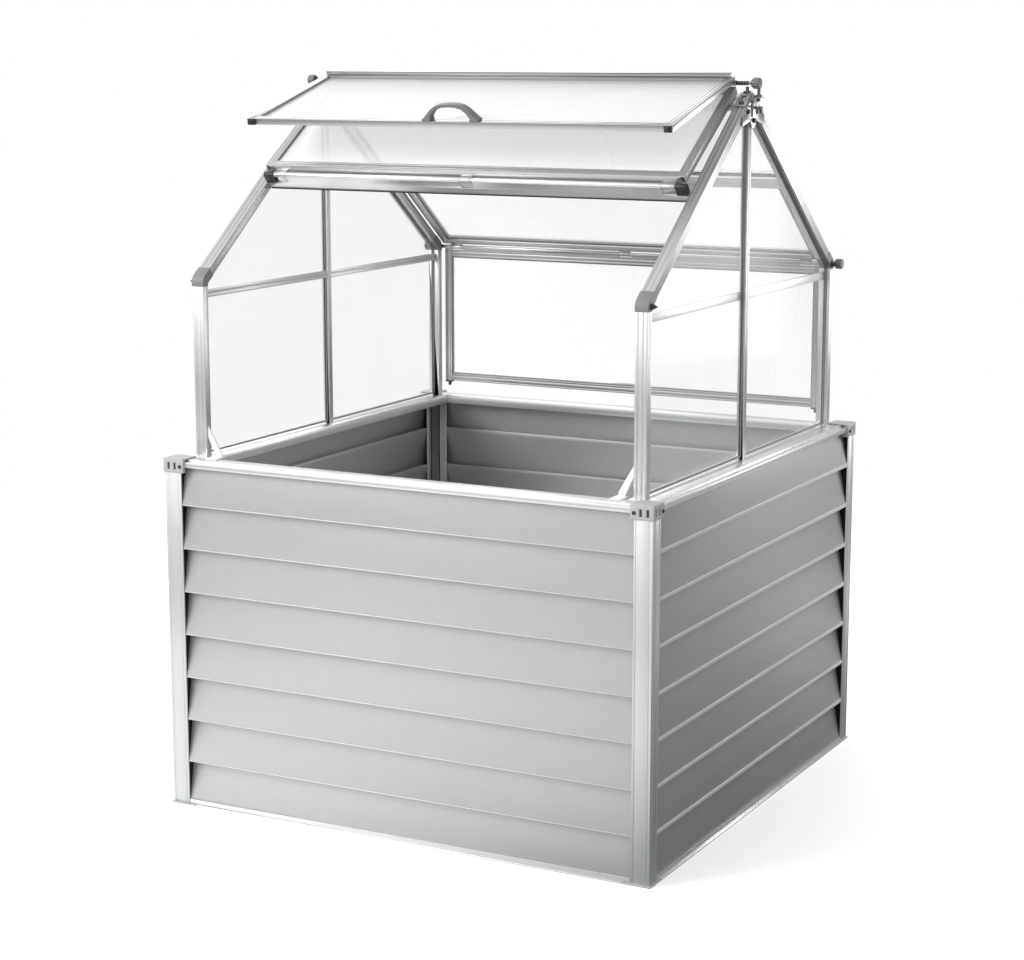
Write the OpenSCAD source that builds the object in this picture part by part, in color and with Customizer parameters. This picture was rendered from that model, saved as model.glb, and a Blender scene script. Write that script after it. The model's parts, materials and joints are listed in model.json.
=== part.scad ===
// Raised-bed cold frame: a clapboard planting box on four corner posts, with a glazed
// gable cover whose front and rear close with folding roof and wall leaves.
// The front is -Y, +Z is up, and the origin is the centre of the base on the ground.

/* [Raised bed] */
// Width of the bed over the corner posts
bed_w = 1180; // [900:10:1500]
// Depth of the bed over the corner posts
bed_d = 1180; // [900:10:1500]
// Height of the rim above the ground
bed_h = 790; // [600:10:1000]
// Number of clapboard courses on each wall
courses = 8; // [4:1:11]
// How far the top of a board sits behind its bottom
board_slant = 18.5; // [8:0.5:26]
// Thickness of the board sheet
board_t = 1.6; // [1:0.1:3]
// Width of a corner post on the front and rear
post_front_w = 42; // [30:1:60]
// Width of a corner post on the left and right
post_side_w = 38; // [30:1:60]
// Wall of the corner post extrusion
post_wall = 2; // [1.5:0.1:3]
// Width of the rim along the front and rear
rim_front_w = 50; // [42:1:58]
// Width of the rim along the left and right
rim_side_w = 80; // [78:1:110]
// Height of the soil tray's top below the rim
tray_drop = 300; // [180:5:450]

/* [Cover] */
// Height of the cover walls from the rim to the eave
wall_h = 396; // [250:2:600]
// Rise of the roof from the eave to the ridge
roof_rise = 400; // [200:5:500]
// Distance from the bed's side to the gable
gable_inset = 43; // [35:1:55]
// Distance from the bed's front to the cover's front
front_inset = 60; // [50:1:75]
// Width of cover posts and rafters, seen from the front
frame_w = 28; // [26:1:36]
// Depth of the cover posts, seen from the side
frame_d = 18; // [16:1:30]
// Depth of the rafters
rafter_h = 20; // [18:1:26]
// Thickness of the glazing
pane_t = 4; // [3:0.5:6]
// Depth of a glazing groove
groove = 5; // [4:0.5:7]

/* [Folding leaves] */
// Thickness of the roof leaves
roof_leaf_t = 18; // [16:1:20]
// Thickness of the wall leaves
wall_leaf_t = 14; // [12:1:16]
// Width of the leaf rails and stiles
leaf_rail = 18; // [18:1:28]
// Gap between a leaf and the rafter beside it
leaf_gap = 5; // [3:0.5:8]
// Height of the mid-roof fold above the rafters
fold_h = 20; // [18:1:22]
// How far the folded roof leaf leans past flat
fold_over = 3.5; // [0:0.5:3.5]
// Angle of the raised wall leaf below level
held_angle = 16; // [8:1:24]
// Gap between the closed wall leaf and the rim
sill_gap = 38; // [30:1:60]
// Length of the bow handle
handle_w = 138; // [100:2:180]
// Height of the bow handle
handle_h = 38; // [28:1:50]
// Radius of the hinge pins
pin_r = 3; // [2:0.25:4]

/* [Hidden] */
$fn = 48;

// seating gap between two pieces, running clearance of a pin, and a cutter's overrun
seat = 0.3;
pin_fit = 0.3;
over = 1;
big = 4000;

// overall half sizes of the bed and of the cover
bx = bed_w / 2;
by = bed_d / 2;
cx = bx - gable_inset;
cy = by - front_inset;

// bed: boards, base and rim
base_t = 3;
base_lip = 4;
base_leg_h = 40;
foot_t = base_t;
anchor_r = 4.5;
anchor_in = 30;
board_proud = 1.5;
board_flange = 10;
board_back = board_proud + board_slant + board_t;
post_return = board_back + seat;
post_flange = 20;
rim_t = 2.5;
rim_lip_h = 12;
rim_step = 4;
rim_step_w = 14;
rim_skirt = 22;
bracket_h = 28;
bracket_proud = 2.5;
bracket_plate = 3;
bracket_w = rim_front_w + bracket_proud;
post_top = bed_h - bracket_h;
rim_bottom = bed_h - rim_step - rim_lip_h;
low_board_z = base_t + seat;
course_h = (bed_h - rim_step - low_board_z) / courses;

// soil tray and what carries it
tray_t = 4;
tray_wall = 26;
tray_z = bed_h - tray_drop;
tray_gap = 6;
ledge_w = 30;
ledge_t = 3;
beam_h = 30;
beam_w = 40;
beam_t = 2;
beams = 4;
drain_r = 6;

// cover: heights and the slope frame, with s down the slope and n square to it
eave_z = bed_h + wall_h;
ridge_z = eave_z + roof_rise;
slope = atan(roof_rise / cy);
slope_len = norm([roof_rise, cy]);
post_in_y = cy - frame_d;
post_in_x = cx - frame_w;
profile_wall = 2;
line_w = 2.4;
line_d = 0.8;
pane_in = 12;
pane_x = cx - pane_in;
cap_proud = 1;
cap_r = 22;
cap_drop = 18;
cap_len = 34;
gable_post_w = 16;
gable_post_d = 16;
gable_rail_h = 18;
gable_rail_z = eave_z - 26;
ridge_w = 34;
ridge_h = 30;
apex_t = 3;

// hinge line of the mid-roof fold and of the eave fold, both for the closed front
knuckle_r = 6;
hinge_set = 8;
leaf_lift = 2;
leaf_drop = 3;
pin_clear = 3.5;
mid_s = slope_len / 2 + 3;
leaf_n = fold_h - leaf_lift - roof_leaf_t / 2;
eave_n = leaf_n - roof_leaf_t / 2 - leaf_drop;
eave_y = cy + pin_clear + pin_r;
eave_fold_z = ridge_z + (eave_n - eave_y * sin(slope)) / cos(slope);
eave_s = eave_y * cos(slope) + (ridge_z - eave_fold_z) * sin(slope);
mid_y = mid_s * cos(slope) + fold_h * sin(slope);
mid_z = ridge_z - mid_s * sin(slope) + fold_h * cos(slope);
leaf_x = post_in_x - leaf_gap;
roof_leaf_s = mid_s + hinge_set;
roof_leaf_len = eave_s - mid_s - 2 * hinge_set;
wall_leaf_y = eave_y + leaf_drop + wall_leaf_t / 2;
wall_leaf_len = eave_fold_z - hinge_set - bed_h - sill_gap;
knuckle_w = 30;
knuckle_gap = 1;
knuckle_x = leaf_x - 37;
hinge_at = [-knuckle_x, 0, knuckle_x];
pin_len = 61;
purlin_s = mid_s - 37;
purlin_w = 38;
web_w = 6;
block_r = 6.5;
knob_r = 11;
knob_w = 16;
cap_t = 4;
peg_len = 9;
peg_r = 4;

// colours of the finishes
silver = [0.78, 0.79, 0.8];
bright = [0.9, 0.9, 0.91];
board_grey = [0.82, 0.82, 0.82];
plastic = [0.55, 0.56, 0.56];
dark_plastic = [0.42, 0.43, 0.44];
black = [0.08, 0.08, 0.09];
glazing = [0.93, 0.95, 0.96, 0.35];

// ---------- placing helpers ----------

module rear() {
    mirror([0, 1, 0])
        children();
}

module left() {
    mirror([1, 0, 0])
        children();
}

// outline given in (y, z), drawn out along +X from x0
module yz_prism(x0, len) {
    translate([x0, 0, 0])
        rotate([90, 0, 90])
            linear_extrude(len)
                children();
}

// local frame of the front slope: -Y runs down the slope and +Z stands square to it
module on_slope() {
    translate([0, 0, ridge_z])
        rotate([slope, 0, 0])
            children();
}

// a wall of the bed drawn as the front wall, turned to side 0 front, 1 right, 2 rear, 3 left
module on_wall(side) {
    rotate([0, 0, 90 * side])
        children();
}

function wall_face(side) = side % 2 == 0 ? by : bx;
function wall_half(side) = side % 2 == 0 ? bx : by;
function post_w(side) = side % 2 == 0 ? post_front_w : post_side_w;

// ---------- raised bed ----------

module bed_post() {
    color(silver)
        translate([-bx, -by, foot_t])
            linear_extrude(post_top - foot_t)
                difference() {
                    polygon([
                        [0, 0],
                        [post_front_w, 0],
                        [post_front_w, post_return],
                        [post_front_w + post_flange, post_return],
                        [post_front_w + post_flange, post_return + post_wall],
                        [post_front_w - post_wall, post_return + post_wall],
                        [post_front_w - post_wall, post_wall],
                        [post_wall, post_wall],
                        [post_wall, post_side_w - post_wall],
                        [post_return + post_wall, post_side_w - post_wall],
                        [post_return + post_wall, post_side_w + post_flange],
                        [post_return, post_side_w + post_flange],
                        [post_return, post_side_w],
                        [0, post_side_w]
                    ]);
                    for (x = [6, post_front_w - 6])
                        translate([x - line_w / 2, -over])
                            square([line_w, over + line_d]);
                    for (y = [6, post_side_w - 6])
                        translate([-over, y - line_w / 2])
                            square([over + line_d, line_w]);
                }
}

// one folded sheet board: slanting face, bottom return and nailing flange
module board_outline(h, flange) {
    top = board_proud + board_slant;
    polygon([
        [board_proud, 0],
        [top, h],
        [top, h + flange],
        [top + board_t, h + flange],
        [top + board_t, h - board_t],
        [board_proud + board_t, board_t],
        [top - seat, board_t],
        [top - seat, 0]
    ]);
}

module board(side, z, h, flange) {
    half = wall_half(side) - post_w(side) - seat;
    translate([-half, -wall_face(side), z])
        rotate([90, 0, 90])
            linear_extrude(2 * half)
                board_outline(h, flange);
}

module boards(side) {
    top_z = low_board_z + (courses - 1) * course_h;
    color(board_grey)
        on_wall(side) {
            for (i = [0:courses - 2])
                board(side, low_board_z + i * course_h, course_h, board_flange);
            board(side, top_z, course_h, bed_h - rim_t - seat - top_z - course_h);
        }
}

module base_rail(side) {
    half = wall_half(side) - post_w(side) - post_flange - seat;
    color(bright)
        on_wall(side)
            translate([-half, -wall_face(side), 0])
                rotate([90, 0, 90])
                    linear_extrude(2 * half)
                        polygon([
                            [-base_lip, 0],
                            [-base_lip, base_t],
                            [board_back + seat, base_t],
                            [board_back + seat, base_leg_h],
                            [board_back + seat + base_t, base_leg_h],
                            [board_back + seat + base_t, 0]
                        ]);
}

module corner_foot() {
    reach_x = post_front_w + post_flange;
    reach_y = post_side_w + post_flange;
    translate([-bx, -by, 0])
        difference() {
            translate([-base_lip, -base_lip, 0])
                cube([base_lip + reach_x, base_lip + reach_y, foot_t]);
            translate([anchor_in, anchor_in, -over])
                cylinder(h = foot_t + 2 * over, r = anchor_r);
        }
}

module corner_feet() {
    color(plastic) {
        corner_foot();
        left() corner_foot();
        rear() corner_foot();
        rear() left() corner_foot();
    }
}

// outline of a rim rail w wide, in depth from the bed's face and height
module rim_outline(w) {
    lip = 2;
    top = bed_h;
    step = bed_h - rim_step;
    polygon([
        [lip, rim_bottom],
        [lip, step],
        [rim_step_w, step],
        [rim_step_w + 2, top],
        [w, top],
        [w, top - rim_skirt],
        [w - rim_t, top - rim_skirt],
        [w - rim_t, top - rim_t],
        [rim_step_w + 3.5, top - rim_t],
        [rim_step_w + 1.5, step - rim_t],
        [lip + rim_t, step - rim_t],
        [lip + rim_t, rim_bottom]
    ]);
}

// the rails end at the corner brackets, and the side rails butt on the front and rear ones
module rim_rail(side) {
    half = wall_half(side) - rim_front_w - seat;
    color(bright)
        on_wall(side)
            translate([-half, -wall_face(side), 0])
                rotate([90, 0, 90])
                    linear_extrude(2 * half)
                        rim_outline(side % 2 == 0 ? rim_front_w : rim_side_w);
}

// slotted plastic corner that ties two rim rails together over a bed post
module rim_corner_bracket() {
    slot_w = 6;
    slot_h = 16;
    p = bracket_proud;
    translate([-bx, -by, 0]) {
        difference() {
            translate([-p, -p, post_top])
                cube([bracket_w, bracket_w, bracket_h]);
            translate([6, 6, post_top - over])
                cube([bracket_w, bracket_w, bracket_h + 2 * over]);
            for (x = [8, 24])
                translate([x, -p - over, post_top + 6])
                    cube([slot_w, 2.2 + over, slot_h]);
            for (y = [8, 24])
                translate([-p - over, y, post_top + 6])
                    cube([2.2 + over, slot_w, slot_h]);
        }
        translate([-p, -p, bed_h])
            cube([bracket_w, bracket_w, bracket_plate]);
    }
}

module rim_corner_brackets() {
    color(plastic) {
        rim_corner_bracket();
        left() rim_corner_bracket();
        rear() rim_corner_bracket();
        rear() left() rim_corner_bracket();
    }
}

tray_x = bx - board_back - base_t - tray_gap;
tray_y = by - board_back - base_t - tray_gap;

// folded tray with drain holes between its beams
module soil_tray() {
    post_cut_x = post_front_w + post_flange - board_back - base_t + tray_gap;
    post_cut_y = post_side_w + post_flange - board_back - base_t + tray_gap;
    color(silver)
        difference() {
            translate([-tray_x, -tray_y, tray_z - tray_t])
                cube([2 * tray_x, 2 * tray_y, tray_t + tray_wall]);
            translate([-tray_x + tray_t, -tray_y + tray_t, tray_z])
                cube([2 * (tray_x - tray_t), 2 * (tray_y - tray_t), tray_wall + over]);
            for (i = [-2:2], j = [-2:2])
                translate([i * tray_x * 0.38, j * tray_y * 0.38, tray_z - tray_t - over])
                    cylinder(h = tray_t + 2 * over, r = drain_r);
            for (sx = [-1, 1], sy = [-1, 1])
                translate([sx * tray_x, sy * tray_y, tray_z])
                    cube([2 * post_cut_x, 2 * post_cut_y, 2 * tray_wall + 3 * tray_t], center = true);
        }
}

// angle ledges on the left and right walls, and the channel beams that rest on them
module tray_supports() {
    ledge_x = bx - board_back - seat;
    ledge_len = 2 * (by - post_side_w - post_flange - seat);
    beam_top = tray_z - tray_t;
    beam_z = beam_top - beam_h;
    ledge_top = beam_z - seat;
    pitch = 2 * tray_y / beams;
    color(silver) {
        for (s = [0, 1])
            mirror([s, 0, 0]) {
                translate([ledge_x - ledge_w, -ledge_len / 2, ledge_top - ledge_t])
                    cube([ledge_w, ledge_len, ledge_t]);
                translate([ledge_x - ledge_t, -ledge_len / 2, ledge_top])
                    cube([ledge_t, ledge_len, ledge_w]);
            }
        for (i = [0:beams - 1])
            translate([-(ledge_x - ledge_t - seat), (i + 0.5) * pitch - tray_y - beam_w / 2, beam_z])
                difference() {
                    cube([2 * (ledge_x - ledge_t - seat), beam_w, beam_h]);
                    translate([-over, beam_t, -over])
                        cube([2 * ledge_x + 2 * over, beam_w - 2 * beam_t, beam_h - beam_t + over]);
                }
    }
}

// ---------- cover frame ----------

// glazing of one half gable, grown by g to cut its grooves
module gable_glass(g) {
    top_n = -rafter_h + groove;
    low_y = -(post_in_y + groove);
    high_y = -(gable_post_w / 2 - groove);
    function under_roof(y) = ridge_z + (top_n + g + y * sin(slope)) / cos(slope);
    yz_prism(pane_x - pane_t / 2 - g, pane_t + 2 * g)
        polygon([
            [low_y - g, bed_h + seat],
            [high_y + g, bed_h + seat],
            [high_y + g, under_roof(high_y)],
            [low_y - g, under_roof(low_y)]
        ]);
}

// glazing of the fixed upper roof, grown by g to cut its grooves
module upper_glass(g) {
    half = post_in_x + groove;
    from_s = ridge_w / 2 / cos(slope) - groove + 6;
    to_s = purlin_s + groove;
    on_slope()
        translate([-half - g, -to_s - g, -rafter_h / 2 - pane_t / 2 - g])
            cube([2 * (half + g), to_s - from_s + 2 * g, pane_t + 2 * g]);
}

module frame_outline(w, d) {
    difference() {
        square([w, d]);
        translate([profile_wall + groove, profile_wall + groove])
            square([w - 2 * profile_wall - groove, d - 2 * profile_wall - groove]);
        for (x = [w * 0.3, w * 0.7])
            translate([x - line_w / 2, d - line_d])
                square([line_w, line_d + over]);
        for (y = [d * 0.3, d * 0.7])
            translate([w - line_d, y - line_w / 2])
                square([line_d + over, line_w]);
    }
}

// front right cover post, its lined faces outward
module cover_post() {
    color(silver)
        difference() {
            translate([post_in_x, -post_in_y, bed_h])
                mirror([0, 1, 0])
                    linear_extrude(eave_z - cap_drop - bed_h)
                        frame_outline(frame_w, frame_d);
            gable_glass(seat);
        }
}

cap_y = cy + cap_proud;
cap_cy = cap_y - cap_r;
cap_cn = cap_proud - cap_r;
cap_cz = ridge_z + (cap_cn - cap_cy * sin(slope)) / cos(slope);
cap_s = cy * cos(slope) + (ridge_z - eave_z) * sin(slope) - cap_len;

function slope_yz(s, n) = [-(s * cos(slope) + n * sin(slope)), ridge_z - s * sin(slope) + n * cos(slope)];
function at_roof(y, n) = [-y, ridge_z + (n - y * sin(slope)) / cos(slope)];

// rounded plastic corner between a cover post and its rafter
module eave_cap() {
    low_z = eave_z - cap_drop;
    c = [-cap_cy, cap_cz];
    tan_post = [-cap_y, cap_cz];
    tan_roof = c + cap_r * [-sin(slope), cos(slope)];
    difference() {
        yz_prism(post_in_x - cap_proud, frame_w + 2 * cap_proud)
            union() {
                polygon([
                    [-cap_y, low_z],
                    tan_post,
                    c,
                    tan_roof,
                    slope_yz(cap_s, cap_proud),
                    slope_yz(cap_s, -rafter_h),
                    at_roof(post_in_y, -rafter_h),
                    [-post_in_y, low_z]
                ]);
                intersection() {
                    translate(c)
                        circle(r = cap_r);
                    polygon([c, tan_post, at_roof(cap_y, cap_proud), tan_roof]);
                }
            }
        gable_glass(seat);
    }
}

module eave_caps() {
    color(dark_plastic) {
        eave_cap();
        left() eave_cap();
        rear() eave_cap();
        rear() left() eave_cap();
    }
}

// front right rafter from the eave cap to the ridge
module rafter() {
    color(silver)
        difference() {
            on_slope()
                translate([post_in_x, -cap_s + seat, -rafter_h])
                    rotate([90, 0, 0])
                        mirror([0, 0, 1])
                            linear_extrude(cap_s - seat + rafter_h)
                                frame_outline(frame_w, rafter_h);
            translate([post_in_x - over, -seat / 2, ridge_z - 4 * rafter_h])
                cube([frame_w + 2 * over, big, big]);
            gable_glass(seat);
            upper_glass(seat);
        }
}

// ridge beam under the meeting rafters, stepped on both sides
module ridge_rail() {
    half = ridge_w / 2;
    side_n = -1;
    color(bright)
        difference() {
            yz_prism(-post_in_x + seat, 2 * (post_in_x - seat))
                polygon([
                    [0, ridge_z + side_n / cos(slope)],
                    at_roof(half + 6, side_n),
                    at_roof(half + 6, side_n) - [0, 12],
                    at_roof(half, side_n) - [0, 12],
                    [-half, ridge_z - ridge_h - 8],
                    [half, ridge_z - ridge_h - 8],
                    [half, at_roof(half, side_n)[1] - 12],
                    [half + 6, at_roof(half + 6, side_n)[1] - 12],
                    [half + 6, at_roof(half + 6, side_n)[1]]
                ]);
            upper_glass(seat);
            rear() upper_glass(seat);
            translate([-post_in_x, -half + 3, ridge_z - ridge_h - 5])
                cube([2 * post_in_x, 2 * half - 6, 12]);
        }
}

// plate over the outside of a gable's apex, with its bolt slots
module apex_plate() {
    reach = 62;
    drop = 74;
    difference() {
        yz_prism(cx + seat, apex_t)
            polygon([
                [0, ridge_z - 1],
                at_roof(reach, -1),
                at_roof(reach, -rafter_h + 2),
                [-16, ridge_z - drop + 16],
                [-8, ridge_z - drop],
                [8, ridge_z - drop],
                [16, ridge_z - drop + 16],
                [reach, at_roof(reach, -rafter_h + 2)[1]],
                [reach, at_roof(reach, -1)[1]]
            ]);
        for (s = [-1, 1])
            translate([cx, s * 34, at_roof(34, -rafter_h / 2)[1]])
                rotate([0, 90, 0])
                    cylinder(h = 4 * apex_t, r = 2.5, center = true);
        translate([cx, 0, ridge_z - drop + 16])
            rotate([0, 90, 0])
                cylinder(h = 4 * apex_t, r = 2.5, center = true);
    }
}

module apex_plates() {
    color(silver) {
        apex_plate();
        left() apex_plate();
    }
}

module gable_post() {
    top_z = at_roof(gable_post_w / 2, -rafter_h)[1] - seat;
    color(silver)
        difference() {
            translate([pane_x - gable_post_d / 2, -gable_post_w / 2, bed_h])
                linear_extrude(top_z - bed_h)
                    difference() {
                        square([gable_post_d, gable_post_w]);
                        for (y = [gable_post_w * 0.35, gable_post_w * 0.65])
                            for (x = [-over, gable_post_d - line_d])
                                translate([x, y - line_w / 2])
                                    square([line_d + over, line_w]);
                        translate([profile_wall, groove + profile_wall])
                            square([gable_post_d - 2 * profile_wall, gable_post_w - 2 * (groove + profile_wall)]);
                    }
            gable_glass(seat);
            rear() gable_glass(seat);
        }
}

// rails inside the gable glazing at eave height, from cover post to gable post
module gable_rail() {
    from_y = gable_post_w / 2 + seat;
    inner_x = pane_x - gable_post_d / 2;
    translate([inner_x, -post_in_y + seat, gable_rail_z - gable_rail_h])
        difference() {
            cube([gable_post_d / 2 - pane_t / 2 - seat, post_in_y - from_y - seat, gable_rail_h]);
            translate([-over, -over, gable_rail_h / 2 - line_w / 2])
                cube([line_d + over, big, line_w]);
        }
}

module gable_rails() {
    color(silver) {
        gable_rail();
        left() gable_rail();
        rear() gable_rail();
        rear() left() gable_rail();
    }
}

module gable_panes() {
    color(glazing) {
        gable_glass(0);
        rear() gable_glass(0);
    }
}

// mid-roof rail that ends the fixed glazing and carries the roof leaf's hinge bead
module purlin() {
    half = post_in_x - seat;
    bead = knuckle_x - knuckle_w / 2 - knuckle_gap;
    color(bright)
        difference() {
            on_slope()
                union() {
                    difference() {
                        translate([-half, -purlin_s - purlin_w, -rafter_h])
                            cube([2 * half, purlin_w, rafter_h]);
                        translate([-half - over, -purlin_s - purlin_w + profile_wall, -rafter_h + profile_wall])
                            cube([2 * (half + over), purlin_w - 2 * profile_wall - groove - 2,
                                  rafter_h - 2 * profile_wall]);
                        for (s = [0.3, 0.5, 0.7])
                            translate([-half - over, -purlin_s - purlin_w * s - line_w / 2, -rafter_h - over])
                                cube([2 * (half + over), line_w, over + line_d]);
                    }
                    translate([-bead, -mid_s - web_w / 2, -profile_wall])
                        cube([2 * bead, web_w, fold_h + profile_wall]);
                    translate([-bead, -mid_s, fold_h])
                        rotate([0, 90, 0])
                            cylinder(h = 2 * bead, r = knuckle_r);
                }
            upper_glass(seat);
            on_slope()
                for (x = hinge_at)
                    translate([x, -mid_s, fold_h]) {
                        translate([-knuckle_w / 2 - knuckle_gap, -knuckle_r * 2, -fold_h])
                            cube([knuckle_w + 2 * knuckle_gap, knuckle_r * 4, 2 * fold_h]);
                        rotate([0, 90, 0])
                            cylinder(h = pin_len + 2 * seat, r = pin_r + pin_fit, center = true);
                    }
        }
}

// black blocks at the purlin's ends that hold the outer ends of the hinge pins
module purlin_end_block() {
    from_x = knuckle_x + knuckle_w / 2 + knuckle_gap;
    len = post_in_x - seat - from_x;
    on_slope()
        translate([from_x, -mid_s, fold_h])
            difference() {
                union() {
                    rotate([0, 90, 0])
                        cylinder(h = len, r = block_r);
                    translate([0, -block_r, -fold_h + seat])
                        cube([len, 2 * block_r, fold_h - seat]);
                }
                translate([-over, 0, 0])
                    rotate([0, 90, 0])
                        cylinder(h = len - seat, r = pin_r + pin_fit);
            }
}

module purlin_end_blocks() {
    color(black) {
        purlin_end_block();
        left() purlin_end_block();
        rear() purlin_end_block();
        rear() left() purlin_end_block();
    }
}

module mid_pins() {
    on_slope()
        for (x = hinge_at)
            translate([x, -mid_s, fold_h])
                rotate([0, 90, 0])
                    cylinder(h = pin_len - 2, r = pin_r, center = true);
}

module fold_pins() {
    color(silver) {
        mid_pins();
        rear() mid_pins();
    }
}

// short flat strut from a front cover post down to a foot plate on the rim
module corner_brace() {
    brace_t = 5;
    brace_w = 12;
    foot_len = 36;
    foot_h = 3;
    rise = 70;
    run = 33;
    face_x = post_in_x - seat;
    outer_y = cy - 4;
    translate([0, -outer_y + brace_t, 0])
        rotate([90, 0, 0])
            linear_extrude(brace_t)
                polygon([
                    [face_x, bed_h + rise],
                    [face_x, bed_h + rise - brace_w * 2],
                    [face_x - run + brace_w, bed_h + foot_h],
                    [face_x - run - 2, bed_h + foot_h],
                    [face_x - run - 2, bed_h + foot_h + 8]
                ]);
    translate([face_x - run - 8, -outer_y + brace_t - foot_len, bed_h])
        cube([brace_w + 14, foot_len, foot_h]);
}

module corner_braces() {
    color(bright) {
        corner_brace();
        left() corner_brace();
    }
}

// round-headed bolts: each head stands on the piece it holds
module bolt_head(r, h) {
    cylinder(h = h, r = r);
    translate([0, 0, -5])
        cylinder(h = 5 + seat, r = r * 0.45);
}

module corner_bolts() {
    cylinder_z = post_top + bracket_h / 2;
    translate([-bx + 41, -by - bracket_proud, cylinder_z])
        rotate([90, 0, 0])
            cylinder(h = 2.5, r = 4);
    translate([-bx - bracket_proud, -by + 41, cylinder_z])
        rotate([0, -90, 0])
            cylinder(h = 2.5, r = 4);
    translate([-cx - cap_proud, -cy + 14, eave_z - 8])
        rotate([0, -90, 0])
            cylinder(h = 4, r1 = 5, r2 = 2.5);
}

module apex_bolts() {
    x = cx + seat + apex_t;
    for (s = [-1, 1])
        translate([x, s * 34, at_roof(34, -rafter_h / 2)[1]])
            rotate([0, 90, 0])
                cylinder(h = 5, r = 5);
    translate([x, 0, ridge_z - 58])
        rotate([0, 90, 0])
            cylinder(h = 5, r = 5);
}

module bolts() {
    color(black) {
        corner_bolts();
        left() corner_bolts();
        rear() corner_bolts();
        rear() left() corner_bolts();
        apex_bolts();
        left() apex_bolts();
    }
}

// ---------- folding leaves ----------

// section of a leaf rail, glazing groove at x = 0 and its outer edge at x = leaf_rail
module leaf_outline(t) {
    inner = groove + profile_wall;
    difference() {
        translate([0, -t / 2])
            square([leaf_rail, t]);
        translate([inner, -t / 2 + profile_wall])
            square([leaf_rail - inner - profile_wall, t - 2 * profile_wall]);
        translate([-over, -pane_t / 2 - seat])
            square([over + groove + seat, pane_t + 2 * seat]);
        for (x = [leaf_rail * 0.25, leaf_rail * 0.75], q = [-1, 1])
            translate([x, q * t / 2])
                square([line_w, 2 * line_d], center = true);
    }
}

// four mitre-free bars round a pane: hinge edge at y = 0, leaf hanging to y = -len
module leaf_bars(len, t) {
    w = 2 * leaf_x;
    for (s = [0, 1])
        mirror([s, 0, 0])
            translate([leaf_x - leaf_rail, 0, 0])
                rotate([90, 0, 0])
                    linear_extrude(len)
                        leaf_outline(t);
    translate([-leaf_x + leaf_rail + seat / 2, -leaf_rail, 0])
        rotate([90, 0, 90])
            linear_extrude(w - 2 * leaf_rail - seat)
                leaf_outline(t);
    translate([-leaf_x + leaf_rail + seat / 2, -len + leaf_rail, 0])
        mirror([0, 1, 0])
            rotate([90, 0, 90])
                linear_extrude(w - 2 * leaf_rail - seat)
                    leaf_outline(t);
}

module leaf_pane(len) {
    half = leaf_x - leaf_rail + groove;
    edge = leaf_rail - groove;
    translate([-half, -len + edge, -pane_t / 2])
        cube([2 * half, len - 2 * edge, pane_t]);
}

// place of the closed roof leaf and wall leaf on the front
module at_roof_leaf() {
    on_slope()
        translate([0, -roof_leaf_s, leaf_n])
            children();
}

module at_wall_leaf() {
    translate([0, -wall_leaf_y, eave_fold_z - hinge_set])
        rotate([90, 0, 0])
            children();
}

// barrel on the X axis with a plate that reaches the leaf's edge at y = -hinge_set
module knuckle(x, dir, low) {
    translate([x - knuckle_w / 2, 0, 0])
        difference() {
            union() {
                rotate([0, 90, 0])
                    cylinder(h = knuckle_w, r = knuckle_r);
                translate([0, dir < 0 ? -hinge_set : 0, low])
                    cube([knuckle_w, hinge_set, 4]);
            }
            translate([-over, 0, 0])
                rotate([0, 90, 0])
                    cylinder(h = knuckle_w + 2 * over, r = pin_r + pin_fit);
        }
}

module roof_leaf_knuckles() {
    on_slope() {
        for (x = hinge_at)
            translate([0, -mid_s, fold_h])
                knuckle(x, -1, -leaf_lift - 4);
        for (x = hinge_at)
            translate([0, -eave_s, eave_n])
                knuckle(x, 1, leaf_drop);
    }
}

// pins of the eave fold: the outer two run past the posts and end in knobs
module eave_pins() {
    knob_x = cx + 5;
    translate([0, -eave_y, eave_fold_z])
        rotate([0, 90, 0])
            cylinder(h = pin_len - 2, r = pin_r, center = true);
    for (s = [0, 1])
        mirror([s, 0, 0])
            translate([knuckle_x - pin_len / 2 + 1, -eave_y, eave_fold_z])
                rotate([0, 90, 0]) {
                    cylinder(h = knob_x - knuckle_x + pin_len / 2, r = pin_r);
                    translate([0, 0, knob_x - knuckle_x + pin_len / 2 - 1])
                        cylinder(h = knob_w, r = knob_r);
                }
}

// bars of the wall leaf with the hinge bead that closes the eave joint
module wall_leaf_frame() {
    half = leaf_x - 1;
    difference() {
        union() {
            at_wall_leaf()
                leaf_bars(wall_leaf_len, wall_leaf_t);
            translate([-half, -eave_y - leaf_drop - 4, eave_fold_z - hinge_set - 1])
                cube([2 * half, 4, hinge_set + 1]);
            translate([-half, -eave_y, eave_fold_z])
                rotate([0, 90, 0])
                    cylinder(h = 2 * half, r = knuckle_r);
        }
        for (x = hinge_at)
            translate([x, -eave_y, eave_fold_z]) {
                translate([0, 0, hinge_set / 2])
                    cube([knuckle_w + 2 * knuckle_gap, 4 * knuckle_r, 3 * hinge_set], center = true);
                rotate([0, 90, 0])
                    cylinder(h = pin_len + 2 * seat, r = pin_r + pin_fit, center = true);
            }
        for (s = [-1, 1])
            translate([s * leaf_x, -eave_y, eave_fold_z])
                rotate([0, 90, 0])
                    cylinder(h = 3 * leaf_rail, r = pin_r + pin_fit, center = true);
    }
}

// plastic end caps under the wall leaf's stiles
module wall_leaf_caps() {
    at_wall_leaf()
        for (s = [0, 1])
            mirror([s, 0, 0]) {
                translate([leaf_x - leaf_rail, -wall_leaf_len - cap_t, -wall_leaf_t / 2])
                    cube([leaf_rail, cap_t, wall_leaf_t]);
                translate([leaf_x - leaf_rail / 2, -wall_leaf_len - cap_t + over, 0])
                    rotate([90, 0, 0])
                        cylinder(h = peg_len + over, r = peg_r);
            }
}

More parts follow.
